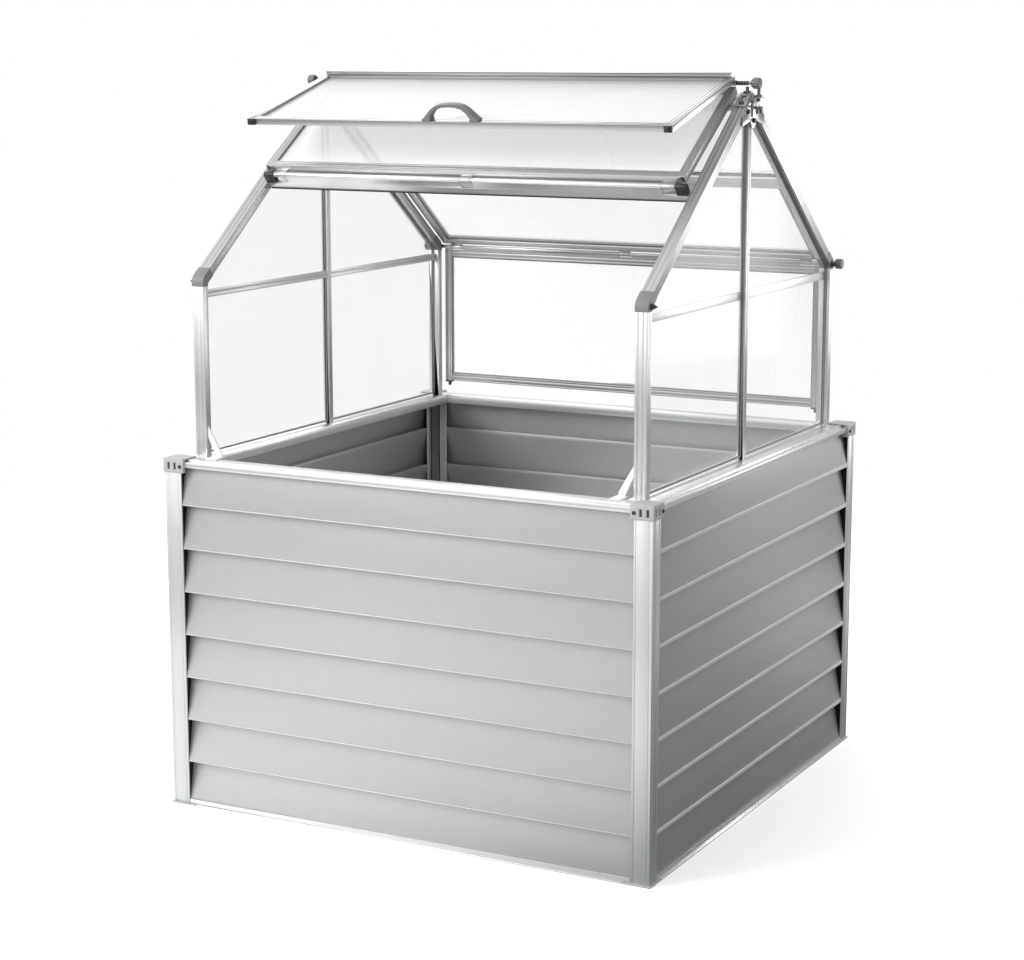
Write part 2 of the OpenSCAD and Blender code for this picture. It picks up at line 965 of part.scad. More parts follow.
// bow handle standing on the outside of the wall leaf's lower rail
module bow_handle() {
    grip_t = 7;
    grip_d = 20;
    foot_w = 22;
    foot_h = 5;
    half = handle_w / 2;
    in_half = half - 13;
    in_h = handle_h - grip_t;
    out_r = (half * half + handle_h * handle_h) / (2 * handle_h);
    in_r = (in_half * in_half + in_h * in_h) / (2 * in_h);
    at_wall_leaf()
        translate([0, -wall_leaf_len + leaf_rail / 2 + grip_d / 2, wall_leaf_t / 2 + seat])
            rotate([90, 0, 0])
                linear_extrude(grip_d)
                    union() {
                        intersection() {
                            difference() {
                                translate([0, handle_h - out_r])
                                    circle(r = out_r, $fn = 96);
                                translate([0, in_h - in_r])
                                    circle(r = in_r, $fn = 96);
                            }
                            translate([-half, 0])
                                square([handle_w, handle_h + over]);
                        }
                        for (s = [-1, 1])
                            translate([s * (half - foot_w / 2) - foot_w / 2, 0])
                                square([foot_w, foot_h]);
                    }
}

// front leaves in their open rest: folded back over the fixed roof, wall leaf held out
module roof_leaf_open() {
    translate([0, -mid_y, mid_z])
        rotate([-180 - fold_over, 0, 0])
            translate([0, mid_y, -mid_z])
                children();
}

module wall_leaf_open() {
    roof_leaf_open()
        translate([0, -eave_y, eave_fold_z])
            rotate([90 + held_angle + fold_over, 0, 0])
                translate([0, eave_y, -eave_fold_z])
                    children();
}

// ---------- nodes ----------

bed_post();  // bed_post_front_left
left() bed_post();  // bed_post_front_right
rear() bed_post();  // bed_post_rear_left
rear() left() bed_post();  // bed_post_rear_right
boards(0);  // boards_front
boards(1);  // boards_right
boards(2);  // boards_rear
boards(3);  // boards_left
base_rail(0);  // base_rail_front
base_rail(1);  // base_rail_right
base_rail(2);  // base_rail_rear
base_rail(3);  // base_rail_left
rim_rail(0);  // rim_rail_front
rim_rail(1);  // rim_rail_right
rim_rail(2);  // rim_rail_rear
rim_rail(3);  // rim_rail_left
rim_corner_brackets();
corner_feet();
soil_tray();
tray_supports();
bolts();
cover_post();  // cover_post_front_right
left() cover_post();  // cover_post_front_left
rear() cover_post();  // cover_post_rear_right
rear() left() cover_post();  // cover_post_rear_left
eave_caps();
rafter();  // rafter_front_right
left() rafter();  // rafter_front_left
rear() rafter();  // rafter_rear_right
rear() left() rafter();  // rafter_rear_left
ridge_rail();
apex_plates();
gable_post();  // gable_post_right
left() gable_post();  // gable_post_left
gable_rails();
gable_panes();  // gable_panes_right
left() gable_panes();  // gable_panes_left
purlin();  // front_purlin
rear() purlin();  // rear_purlin
color(glazing) upper_glass(0);  // front_upper_pane
color(glazing) rear() upper_glass(0);  // rear_upper_pane
corner_braces();
purlin_end_blocks();
fold_pins();
color(silver) roof_leaf_open() at_roof_leaf() leaf_bars(roof_leaf_len, roof_leaf_t);  // front_roof_leaf_frame
color(glazing) roof_leaf_open() at_roof_leaf() leaf_pane(roof_leaf_len);  // front_roof_leaf_pane
color(silver) roof_leaf_open() roof_leaf_knuckles();  // front_roof_leaf_knuckles
color(dark_plastic) roof_leaf_open() eave_pins();  // front_fold_knobs
color(silver) wall_leaf_open() wall_leaf_frame();  // front_wall_leaf_frame
color(glazing) wall_leaf_open() at_wall_leaf() leaf_pane(wall_leaf_len);  // front_wall_leaf_pane
color(black) wall_leaf_open() wall_leaf_caps();  // front_wall_leaf_caps
color(dark_plastic) wall_leaf_open() bow_handle();  // front_handle
color(silver) rear() at_roof_leaf() leaf_bars(roof_leaf_len, roof_leaf_t);  // rear_roof_leaf_frame
color(glazing) rear() at_roof_leaf() leaf_pane(roof_leaf_len);  // rear_roof_leaf_pane
color(silver) rear() roof_leaf_knuckles();  // rear_roof_leaf_knuckles
color(dark_plastic) rear() eave_pins();  // rear_fold_knobs
color(silver) rear() wall_leaf_frame();  // rear_wall_leaf_frame
color(glazing) rear() at_wall_leaf() leaf_pane(wall_leaf_len);  // rear_wall_leaf_pane
color(black) rear() wall_leaf_caps();  // rear_wall_leaf_caps
color(dark_plastic) rear() bow_handle();  // rear_handle
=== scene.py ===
import json
import math

import bpy
from mathutils import Matrix, Vector

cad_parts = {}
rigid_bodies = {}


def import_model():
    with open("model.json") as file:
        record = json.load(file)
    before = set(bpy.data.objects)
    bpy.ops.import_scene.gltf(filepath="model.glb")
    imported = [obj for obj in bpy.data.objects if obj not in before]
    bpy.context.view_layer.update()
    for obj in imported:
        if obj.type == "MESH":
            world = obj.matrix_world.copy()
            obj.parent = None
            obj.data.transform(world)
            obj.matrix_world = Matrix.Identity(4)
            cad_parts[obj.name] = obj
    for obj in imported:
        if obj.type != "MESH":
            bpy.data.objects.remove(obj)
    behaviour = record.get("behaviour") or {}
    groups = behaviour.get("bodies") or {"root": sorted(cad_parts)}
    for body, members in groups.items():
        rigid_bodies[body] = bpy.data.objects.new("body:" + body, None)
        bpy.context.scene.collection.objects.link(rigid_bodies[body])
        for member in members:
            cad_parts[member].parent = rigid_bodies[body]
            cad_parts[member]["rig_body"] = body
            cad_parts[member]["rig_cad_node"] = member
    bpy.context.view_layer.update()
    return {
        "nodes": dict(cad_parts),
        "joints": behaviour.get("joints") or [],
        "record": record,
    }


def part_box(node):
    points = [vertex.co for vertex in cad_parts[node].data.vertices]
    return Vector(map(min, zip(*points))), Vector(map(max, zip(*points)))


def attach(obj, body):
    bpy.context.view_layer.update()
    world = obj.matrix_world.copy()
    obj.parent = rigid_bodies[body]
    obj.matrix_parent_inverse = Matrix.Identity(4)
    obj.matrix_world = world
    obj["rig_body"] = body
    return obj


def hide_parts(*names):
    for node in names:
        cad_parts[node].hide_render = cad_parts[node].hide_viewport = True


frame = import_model()
nodes = frame["nodes"]
joints = {joint["name"]: joint for joint in frame["joints"]}
body_of = {node: body
           for body, members in frame["record"]["behaviour"]["bodies"].items()
           for node in members}


# ---------------------------------------------------------------- studio
# A wide pale floor that fades into a white surround. A soft sky, brightest at the front left,
# and three soft lights give the front wall its light and the right wall its shade.

class Field:
    """One output of a material's nodes. Sums written on it add Math nodes."""

    def __init__(self, tree, socket=None):
        self.tree = tree
        self.socket = socket

    def node(self, kind, settings, sockets, output=0):
        made = self.tree.nodes.new("ShaderNode" + kind)
        for name, value in settings.items():
            if name == "stops":
                for stop, (place, shade) in zip(made.color_ramp.elements, value):
                    stop.position = place
                    stop.color = shade
            else:
                setattr(made, name, value)
        for name, value in sockets.items():
            if isinstance(value, Field):
                self.tree.links.new(value.socket, made.inputs[name])
            else:
                made.inputs[name].default_value = value
        return Field(self.tree, made.outputs[output])

    def sum_of(self, operation, first, second):
        return self.node("Math", {"operation": operation}, {0: first, 1: second})

    def __add__(self, other):
        return self.sum_of("ADD", self, other)

    def __radd__(self, other):
        return self.sum_of("ADD", other, self)

    def __sub__(self, other):
        return self.sum_of("SUBTRACT", self, other)

    def __rsub__(self, other):
        return self.sum_of("SUBTRACT", other, self)

    def __mul__(self, other):
        return self.sum_of("MULTIPLY", self, other)

    def __rmul__(self, other):
        return self.sum_of("MULTIPLY", other, self)


def new_material(name):
    """An empty material, and the Object coordinates that its patterns read."""
    material = bpy.data.materials.new(name)
    material.use_nodes = True
    start = Field(material.node_tree)
    return material, start.node("TexCoord", {}, {}, "Object")


def dress(material, sockets):
    """Sets or links sockets of the material's shader."""
    shader = material.node_tree.nodes["Principled BSDF"]
    for name, value in sockets.items():
        if isinstance(value, Field):
            material.node_tree.links.new(value.socket, shader.inputs[name])
        else:
            shader.inputs[name].default_value = value


def blend_colours(amount, first, second):
    """Mixes a first colour, or an output that holds one, with a second by amount."""
    start = first if isinstance(first, Field) else (*first, 1)
    return amount.node("Mix", {"data_type": "RGBA"}, {0: amount, 6: start, 7: (*second, 1)}, 2)


def smooth_step(amount, start, end):
    """Goes smoothly from 0 where amount is start to 1 where it is end."""
    return amount.node("MapRange", {"interpolation_type": "SMOOTHSTEP"},
                       {"Value": amount, "From Min": start, "From Max": end})


def deselect():
    bpy.ops.object.select_all(action="DESELECT")


LENS_MM = 81.2
CAMERA_AT = (2.421, -4.674, 1.683)
CAMERA_DOWN = 10.62
CAMERA_PAN = 27.72

deselect()
bpy.ops.object.camera_add(
    location=CAMERA_AT,
    rotation=(math.radians(90 - CAMERA_DOWN), 0, math.radians(CAMERA_PAN)),
)
camera = bpy.context.active_object
camera.data.sensor_width = 36
camera.data.lens = LENS_MM
bpy.context.scene.camera = camera

# The floor is pale near the object and white from FADE_TO on. Light that is not on its way
# to the camera meets a grey patch around SHADE_AT and a weaker glow, GLOW_UNSEEN.
BLACK = (0, 0, 0)
WHITE = (1, 1, 1)
FLOOR_SIZE = 60
FLOOR_PALE = (0.93, 0.93, 0.93)
FLOOR_GREY = (0.20, 0.21, 0.20)
FADE_FROM = 1.6
FADE_TO = 4.2
SHADE_AT = (1.6, 0.2, 0.0)
SHADE_FROM = 2.2
SHADE_TO = 1.0
GLOW_UNSEEN = 0.26
GLOW_NEAR = 0.2
bpy.ops.mesh.primitive_plane_add(size=FLOOR_SIZE, location=(0, 0, 0))
floor = bpy.context.active_object
floor.name = "studio_floor"
floor_paint, place = new_material("studio floor")
reach = place.node("VectorMath", {"operation": "LENGTH"}, {0: place}, "Value")
fade = smooth_step(reach, FADE_FROM, FADE_TO)
aside = place.node("VectorMath", {"operation": "DISTANCE"}, {0: place, 1: SHADE_AT}, "Value")
shade = smooth_step(aside, SHADE_FROM, SHADE_TO)
seen = place.node("LightPath", {}, {}, "Is Camera Ray")
glow = fade * (GLOW_UNSEEN + (1 - GLOW_UNSEEN) * seen) + GLOW_NEAR * seen
dress(floor_paint, {
    "Base Color": blend_colours(shade * (1 - seen), blend_colours(fade, FLOOR_PALE, BLACK), FLOOR_GREY),
    "Emission Color": blend_colours(glow, BLACK, WHITE),
    "Emission Strength": 1.0,
    "Roughness": 0.8,
    "Specular IOR Level": 0.0,
})
floor.data.materials.append(floor_paint)

BRIGHT_SIDE = (-0.55, -0.72, 0.42)
SKY_DARKEST = 0.22
SKY_RISE = 0.60
world = bpy.data.worlds.new("soft sky")
world.use_nodes = True
sky = Field(world.node_tree)
way = sky.node("TexCoord", {}, {}, "Generated")
facing = way.node("VectorMath", {"operation": "DOT_PRODUCT"}, {0: way, 1: BRIGHT_SIDE}, "Value")
soft_sky = SKY_DARKEST + SKY_RISE * (facing + 1)
seen = sky.node("LightPath", {}, {}, "Is Camera Ray")
strength = soft_sky * (1 - seen) + seen
backdrop = world.node_tree.nodes["Background"]
backdrop.inputs["Color"].default_value = (1, 1, 1, 1)
world.node_tree.links.new(strength.socket, backdrop.inputs["Strength"])
bpy.context.scene.world = world
bpy.context.scene.view_settings.view_transform = "Standard"


def soft_light(name, place, aim, size, watts):
    bpy.ops.object.light_add(type="AREA", location=place)
    light = bpy.context.active_object
    light.name = name
    light.data.size = size
    light.data.energy = watts
    light.visible_camera = False
    light.rotation_euler = (Vector(aim) - Vector(place)).to_track_quat("-Z", "Y").to_euler()


soft_light("key light", (-3.2, -4.2, 3.8), (0, -0.3, 0.6), 2.6, 185)
soft_light("side light", (1.45, 1.55, 1.15), (0.6, 0.45, 0.78), 0.8, 13)
soft_light("back light", (-2.8, 3.6, 4.0), (0, 0.3, 1.0), 3.0, 60)


# ---------------------------------------------------------------- bed corner posts
# Four aluminium posts with fine lines down each face, cut from one long extrusion and
# anodised a satin silver. The boards slide in behind their edges.

def noise(place, stretch, detail=3.0):
    """Noise on coordinates multiplied by stretch, about 0.5 on average."""
    scaled = place.node("Mapping", {}, {"Vector": place, "Scale": stretch})
    return place.node("TexNoise", {}, {"Vector": scaled, "Scale": 1.0, "Detail": detail})


def drawn_metal(name, along, dark, light, rough=0.34, metallic=0.75):
    """Extruded aluminium: die lines along its length, cloudy anodising, faint handling marks."""
    material, place = new_material(name)
    across = [420.0, 420.0, 420.0]
    across[along] = 2.0
    die_lines = noise(place, across)
    clouds = noise(place, (7.0, 7.0, 7.0), 4.0)
    marks = noise(place, (24.0, 24.0, 24.0), 3.0)
    dress(material, {
        "Base Color": blend_colours(0.55 * die_lines + 0.45 * clouds, dark, light),
        "Metallic": metallic,
        "Roughness": rough - 0.06 + 0.10 * die_lines + 0.05 * marks,
        "Normal": place.node("Bump", {}, {"Strength": 0.10, "Distance": 0.0003, "Height": die_lines}),
    })
    return material


SAME_POINT = 0.00001
FLAT = math.radians(1)
EDGE = math.radians(35)
SMOOTH = math.radians(40)


def pick(piece):
    """Makes a piece the only selected one, and the active one."""
    deselect()
    piece.select_set(True)
    bpy.context.view_layer.objects.active = piece


def paint(piece, material):
    piece.data.materials.clear()
    piece.data.materials.append(material)


def copy_of(node, ending):
    """A copy of a CAD node under its own name, its triangles merged into whole faces."""
    pick(nodes[node])
    bpy.ops.object.duplicate()
    piece = bpy.context.active_object
    piece.name = node + ending
    piece.parent = None
    del piece["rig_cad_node"]
    del piece["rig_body"]
    bpy.ops.object.mode_set(mode="EDIT")
    bpy.ops.mesh.select_all(action="SELECT")
    bpy.ops.mesh.remove_doubles(threshold=SAME_POINT)
    bpy.ops.mesh.dissolve_limited(angle_limit=FLAT)
    bpy.ops.object.mode_set(mode="OBJECT")
    return piece


def round_edges(piece, width, segments, sharp):
    """Rounds every edge of a piece that turns by more than the angle sharp."""
    bevel = piece.modifiers.new("round edges", "BEVEL")
    bevel.width = width
    bevel.segments = segments
    bevel.limit_method = "ANGLE"
    bevel.angle_limit = sharp
    bpy.ops.object.modifier_apply(modifier=bevel.name)


def eased_copy(node, width, material, segments=2):
    """A copy of a CAD node with its edges eased by width, which stands for it."""
    piece = copy_of(node, "_finished")
    round_edges(piece, width, segments, EDGE)
    bpy.ops.object.shade_smooth_by_angle(angle=SMOOTH)
    paint(piece, material)
    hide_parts(node)
    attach(piece, body_of[node])
    return piece


SILVER_DARK = (0.50, 0.51, 0.52)
SILVER_LIGHT = (0.70, 0.71, 0.72)
upright_metal = drawn_metal("satin aluminium upright", 2, SILVER_DARK, SILVER_LIGHT)
for corner in ("front_left", "front_right", "rear_left", "rear_right"):
    eased_copy("bed_post_" + corner, 0.0006, upright_metal)


# ---------------------------------------------------------------- clapboards
# Each wall is eight folded sheets of coated steel, laid so that each one slants out over the
# top of the one below. The coat is a satin light grey with the roller's faint long waves.

def coated_sheet(name, along):
    """Roller-coated sheet: a very slight orange peel, long waves, and a scatter of dust."""
    material, place = new_material(name)
    stretch = [9.0, 9.0, 9.0]
    stretch[along] = 0.8
    waves = noise(place, stretch, 2.0)
    peel = noise(place, (900.0, 900.0, 900.0), 1.0)
    dust = noise(place, (38.0, 38.0, 38.0), 7.0)
    dress(material, {
        "Base Color": blend_colours(0.7 * waves + 0.3 * dust, (0.45, 0.455, 0.46), (0.55, 0.555, 0.56)),
        "Metallic": 0.72,
        "Roughness": 0.36 + 0.10 * waves + 0.06 * dust,
        "Normal": place.node("Bump", {}, {"Strength": 0.10, "Distance": 0.0006,
                                         "Height": waves + 0.06 * peel}),
    })
    return material


COURSES = 8
TOP_GAP = 0.004
HEM_FINE = 0.0028
HEM_BROAD = 0.0085
HEM_D = 0.0026
HEM_OUT = 0.0005
HEM_ROUND = 0.0010
board_x = coated_sheet("grey coated sheet lengthwise", 0)
board_y = coated_sheet("grey coated sheet crosswise", 1)
# The broad hems of the side walls are real folds painted lighter than the boards: a painted highlight along
# each fold.
broad_hem_painted_highlight = drawn_metal("broad rolled hem", 1, (0.54, 0.545, 0.55), (0.62, 0.625, 0.63), 0.4, 0.1)
rim_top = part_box("rim_rail_front")[1].z


def settle():
    """Brings the active piece's place, turn and scale into its mesh."""
    bpy.ops.object.transform_apply(location=True, rotation=True, scale=True)


def bar(start, end, bevel=0.0006, segments=2):
    """A bar between any two opposite corners, with rounded edges."""
    deselect()
    start, end = Vector(start), Vector(end)
    bpy.ops.mesh.primitive_cube_add(size=1, location=(start + end) / 2)
    part = bpy.context.active_object
    part.dimensions = [abs(side) for side in end - start]
    settle()
    bpy.ops.object.mode_set(mode="EDIT")
    bpy.ops.mesh.select_all(action="SELECT")
    bpy.ops.mesh.bevel(offset=bevel, segments=segments, affect="EDGES")
    bpy.ops.object.mode_set(mode="OBJECT")
    return part


def box_piece(name, start, end, bevel, material, body, segments=2):
    """A bar that is a piece of its own."""
    piece = bar(start, end, bevel, segments)
    piece.name = name
    bpy.ops.object.shade_smooth_by_angle(angle=SMOOTH)
    paint(piece, material)
    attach(piece, body)
    return piece


for wall in ("front", "rear", "left", "right"):
    lengthwise = wall in ("front", "rear")
    eased_copy("boards_" + wall, 0.0005, board_x if lengthwise else board_y)
    low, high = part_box("boards_" + wall)
    pitch = (rim_top - TOP_GAP - low.z) / COURSES
    hem_h = HEM_FINE if lengthwise else HEM_BROAD
    # Side walls get the lighter hem finish, a painted highlight. Front and rear hems keep the boards' own
    # colour.
    hem_metal = board_x if lengthwise else broad_hem_painted_highlight
    for course in range(COURSES):
        z = low.z + course * pitch
        start, end = Vector((low.x, low.y, z)), Vector((high.x, high.y, z + hem_h))
        if wall == "front":
            start.y, end.y = low.y - HEM_OUT, low.y + HEM_D
        elif wall == "rear":
            start.y, end.y = high.y - HEM_D, high.y + HEM_OUT
        elif wall == "left":
            start.x, end.x = low.x - HEM_OUT, low.x + HEM_D
        else:
            start.x, end.x = high.x - HEM_D, high.x + HEM_OUT
        box_piece(f"board_hem_{wall}_{course}", start, end, HEM_ROUND, hem_metal,
                  "frame", 3)


# ---------------------------------------------------------------- board end strips
# A near-black strip stands in each corner post behind the cut ends of the boards, where they sit back from
# the post's face.
# It is painted shade, the shade of that recess, and shows as dark teeth beside the slanting boards.

def rubber(name, dark, light):
    """Soft rubber with a grey bloom and fine pores."""
    material, place = new_material(name)
    bloom = noise(place, (70.0, 70.0, 70.0), 5.0)
    pores = noise(place, (900.0, 900.0, 900.0), 2.0)
    dress(material, {
        "Base Color": blend_colours(0.7 * bloom + 0.3 * pores, dark, light),
        "Roughness": 0.62 + 0.2 * bloom,
        "Specular IOR Level": 0.15,
        "Normal": place.node("Bump", {}, {"Strength": 0.2, "Distance": 0.0002, "Height": pores}),
    })
    return material


STRIP_T = 0.0022
STRIP_OUTER = 0.5870
STRIP_INNER = 0.5655
STRIP_FOOT = 0.008
STRIP_TOP = 0.760
STRIP_ROUND = 0.0004
# Near-black material for painted shade: the recess behind the board ends and the shadow line under each
# purlin.
painted_shade_rubber = rubber("black end strip", (0.003, 0.003, 0.0035), (0.010, 0.010, 0.011))
board_end_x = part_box("boards_front")[1].x
board_end_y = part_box("boards_right")[1].y
for side in (-1, 1):
    for wall in (-1, 1):
        box_piece(f"end_shade_strip_long_{side + 1}_{wall + 1}",
                  (side * board_end_x, wall * STRIP_OUTER, STRIP_FOOT),
                  (side * (board_end_x + STRIP_T), wall * STRIP_INNER, STRIP_TOP),
                  STRIP_ROUND, painted_shade_rubber, "frame")
        box_piece(f"end_shade_strip_cross_{side + 1}_{wall + 1}",
                  (side * STRIP_OUTER, wall * board_end_y, STRIP_FOOT),
                  (side * STRIP_INNER, wall * (board_end_y + STRIP_T), STRIP_TOP),
                  STRIP_ROUND, painted_shade_rubber, "frame")


# ---------------------------------------------------------------- base rails and corner feet
# Angle rails close the foot of each wall, and a foot plate with a peg hole stands under
# each corner post. The rails are bright drawn aluminium and the plates grey moulded plastic.

def moulded_plastic(name, dark, light, rough=0.5):
    """Injection-moulded plastic: spark-eroded grain, slight sink marks and scuffed grain tops."""
    material, place = new_material(name)
    grain = noise(place, (1500.0, 1500.0, 1500.0), 2.0)
    sinks = noise(place, (45.0, 45.0, 45.0), 2.0)
    scuffs = noise(place, (140.0, 140.0, 30.0), 8.0)
    dress(material, {
        "Base Color": blend_colours(0.4 * grain + 0.35 * sinks + 0.25 * scuffs, dark, light),
        "Roughness": rough - 0.05 + 0.12 * scuffs + 0.06 * grain,
        "Normal": place.node("Bump", {}, {"Strength": 0.25, "Distance": 0.0003,
                                         "Height": grain + 0.5 * sinks}),
    })
    return material


BRIGHT_DARK = (0.72, 0.73, 0.74)
BRIGHT_LIGHT = (0.86, 0.86, 0.87)
bright_x = drawn_metal("bright rail lengthwise", 0, BRIGHT_DARK, BRIGHT_LIGHT, 0.28)
bright_y = drawn_metal("bright rail crosswise", 1, BRIGHT_DARK, BRIGHT_LIGHT, 0.28)
grey_plastic = moulded_plastic("grey moulded plastic", (0.34, 0.345, 0.35), (0.46, 0.465, 0.47))
for wall in ("front", "rear", "left", "right"):
    metal = bright_x if wall in ("front", "rear") else bright_y
    eased_copy("base_rail_" + wall, 0.0006, metal)
eased_copy("corner_feet", 0.0008, grey_plastic)


# ---------------------------------------------------------------- base lips
# A bright lip clips over the front edge of each base rail and covers the cut edge of the
# lowest board. A shallow panel is pressed along its outer face.

LIP_FOOT = 0.0034
LIP_TOP = 0.0144
LIP_D = 0.0030
LIP_BEHIND_POST = 0.0028
LIP_HALF_LONG = 0.547
LIP_HALF_CROSS = 0.551
post_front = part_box("bed_post_front_right")[0].y
post_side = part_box("bed_post_front_right")[1].x


def base_lip(name, start, end, across, outward, material):
    """A bar with a panel pressed in the face that looks outward along the axis across."""
    piece = box_piece(name, start, end, 0.0008, material, "frame", 3)
    pick(piece)
    for face in piece.data.polygons:
        face.select = face.normal[across] * outward > 0.99 and face.area > 0.002
    bpy.ops.object.mode_set(mode="EDIT")
    bpy.ops.mesh.inset(thickness=0.0022, depth=-0.0007)
    bpy.ops.object.mode_set(mode="OBJECT")
    return piece


for wall in (-1, 1):
    near_y = wall * (abs(post_front) - LIP_BEHIND_POST)
    base_lip(f"base_lip_long_{wall + 1}", (-LIP_HALF_LONG, near_y, LIP_FOOT),
             (LIP_HALF_LONG, near_y + wall * LIP_D, LIP_TOP), 1, wall, bright_x)
    near_x = wall * (post_side - LIP_BEHIND_POST)
    base_lip(f"base_lip_cross_{wall + 1}", (near_x, -LIP_HALF_CROSS, LIP_FOOT),
             (near_x + wall * LIP_D, LIP_HALF_CROSS, LIP_TOP), 0, wall, bright_y)


# ---------------------------------------------------------------- rim
# A stepped extrusion caps each wall and turns down inside it. Slotted plastic corners tie the
# four lengths together over the posts, each held by two round-headed bolts.

SLOT_DEPTH_MIN = 0.0004
SLOT_DEPTH_MAX = 0.0024
for wall in ("front", "rear", "left", "right"):
    metal = bright_x if wall in ("front", "rear") else bright_y
    eased_copy("rim_rail_" + wall, 0.0007, metal)
brackets = eased_copy("rim_corner_brackets", 0.0010, grey_plastic, 3)
# The faces inside the brackets' slots are painted near black: painted shade in the slots.
slot_shade = moulded_plastic("slot shade", (0.015, 0.015, 0.017), (0.04, 0.04, 0.043))
brackets.data.materials.append(slot_shade)
bracket_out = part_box("rim_corner_brackets")[1].x
for face in brackets.data.polygons:
    for axis in (0, 1):
        depth = bracket_out - abs(face.center[axis])
        if abs(face.normal[axis]) > 0.9 and SLOT_DEPTH_MIN < depth < SLOT_DEPTH_MAX:
            face.material_index = 1


# ---------------------------------------------------------------- tray and beams
# The soil stands on a folded tray with drain holes, carried by channel beams on two ledges.
# All of it is mill-finish aluminium, duller than the frame.

def mill_metal(name):
    """Rolled sheet with a broken spangle and dull patches."""
    material, place = new_material(name)
    spangle = place.node("TexVoronoi", {"feature": "F1"}, {"Vector": place, "Scale": 90.0})
    patches = noise(place, (12.0, 12.0, 12.0), 5.0)
    dress(material, {
        "Base Color": blend_colours(0.8 * patches + 0.3 * spangle,
                                    (0.40, 0.41, 0.42), (0.58, 0.59, 0.60)),
        "Metallic": 0.7,
        "Roughness": 0.38 + 0.2 * patches + 0.12 * spangle,
    })
    return material


mill = mill_metal("mill finish sheet")
for node in ("soil_tray", "tray_supports"):
    paint(nodes[node], mill)


# ---------------------------------------------------------------- cover posts and rafters
# Grooved aluminium bars of one extrusion carry the glazing at the gables. A rounded plastic
# cap joins each post to its rafter at the eave.

slope_metal = drawn_metal("satin aluminium slope", 1, (0.38, 0.385, 0.39), (0.54, 0.545, 0.55))
dark_plastic = moulded_plastic("dark grey moulded plastic", (0.115, 0.12, 0.125), (0.19, 0.195, 0.20))
cap_plastic = moulded_plastic("eave cap plastic", (0.15, 0.153, 0.157), (0.23, 0.234, 0.238))
for corner in ("front_left", "front_right", "rear_left", "rear_right"):
    eased_copy("cover_post_" + corner, 0.0006, upright_metal)
    eased_copy("rafter_" + corner, 0.0006, slope_metal)
eased_copy("eave_caps", 0.0012, cap_plastic, 3)


# ---------------------------------------------------------------- eave clips
# A black wedge clip is pressed through the outside of each eave cap. It has a collar against
# the cap and a spring rib round its wedge, and it holds the gable glazing against the post.

black_plastic = moulded_plastic("black moulded plastic", (0.012, 0.012, 0.014), (0.035, 0.035, 0.038), 0.42)
CLIP_Z = 1.1780
CLIP_Y = 0.5160
cap_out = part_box("eave_caps")[1].x


def merged(name, parts, material, body):
    """Joins parts into one piece, with faces outward."""
    deselect()
    for part in parts:
        part.select_set(True)
    bpy.context.view_layer.objects.active = parts[0]
    bpy.ops.object.join()
    piece = bpy.context.active_object
    piece.name = name
    bpy.ops.object.mode_set(mode="EDIT")
    bpy.ops.mesh.select_all(action="SELECT")
    bpy.ops.mesh.normals_make_consistent(inside=False)
    bpy.ops.object.mode_set(mode="OBJECT")
    bpy.ops.object.shade_smooth_by_angle(angle=SMOOTH)
    paint(piece, material)
    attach(piece, body)
    return piece


def turned(start, end, radius, bevel=0.0006, sides=28):
    """A round bar from start to end with eased rims."""
    deselect()
    start, end = Vector(start), Vector(end)
    bpy.ops.mesh.primitive_cylinder_add(vertices=sides, radius=radius, depth=(end - start).length,
                                        location=(start + end) / 2,
                                        rotation=(end - start).to_track_quat("Z", "Y").to_euler())
    part = bpy.context.active_object
    settle()
    along = (end - start).normalized()
    for face in part.data.polygons:
        face.select = abs(face.normal.dot(along)) > 0.99
    bpy.ops.object.mode_set(mode="EDIT")
    bpy.ops.mesh.select_mode(type="FACE")
    bpy.ops.mesh.inset(thickness=radius * 0.3, depth=bevel * 0.4)
    bpy.ops.object.mode_set(mode="OBJECT")
    return part


def tip(part, angle, about):
    """Turns a part about a line through a point, along X."""
    pick(part)
    turn = Matrix.Rotation(angle, 4, "X")
    part.matrix_world = Matrix.Translation(about) @ turn @ Matrix.Translation(-Vector(about))
    settle()
    return part


def wedge(start, end, radius, tip_radius):
    """A tapered plug with a stepped tip, from start to end."""
    deselect()
    start, end = Vector(start), Vector(end)
    bpy.ops.mesh.primitive_cone_add(vertices=24, radius1=radius, radius2=tip_radius,
                                    depth=(end - start).length, location=(start + end) / 2,
                                    rotation=(end - start).to_track_quat("Z", "Y").to_euler())
    part = bpy.context.active_object
    settle()
    along = (end - start).normalized()
    for face in part.data.polygons:
        face.select = face.normal.dot(along) > 0.99
    bpy.ops.object.mode_set(mode="EDIT")
    bpy.ops.mesh.select_mode(type="FACE")
    bpy.ops.mesh.inset(thickness=tip_radius * 0.4, depth=tip_radius * 0.4)
    bpy.ops.object.mode_set(mode="OBJECT")
    return part


for side in (-1, 1):
    for wall in (-1, 1):
        foot = Vector((side * cap_out, wall * CLIP_Y, CLIP_Z))
        out = Vector((side, 0, 0))
        clip = [turned(foot + 0.0002 * out, foot + 0.0022 * out, 0.0066),
                wedge(foot + 0.0022 * out, foot + 0.0125 * out, 0.0056, 0.0016),
                turned(foot + 0.0052 * out, foot + 0.0062 * out, 0.0054)]
        merged(f"eave_clip_{side + 1}_{wall + 1}", clip, black_plastic, "frame")


# ---------------------------------------------------------------- ridge, gable posts and gable rails
# The ridge rail is stepped to take the roof glazing. A post with two fine lines runs from the
# rim to each apex, a rail crosses each half gable, and a shaped plate ties the apex together.

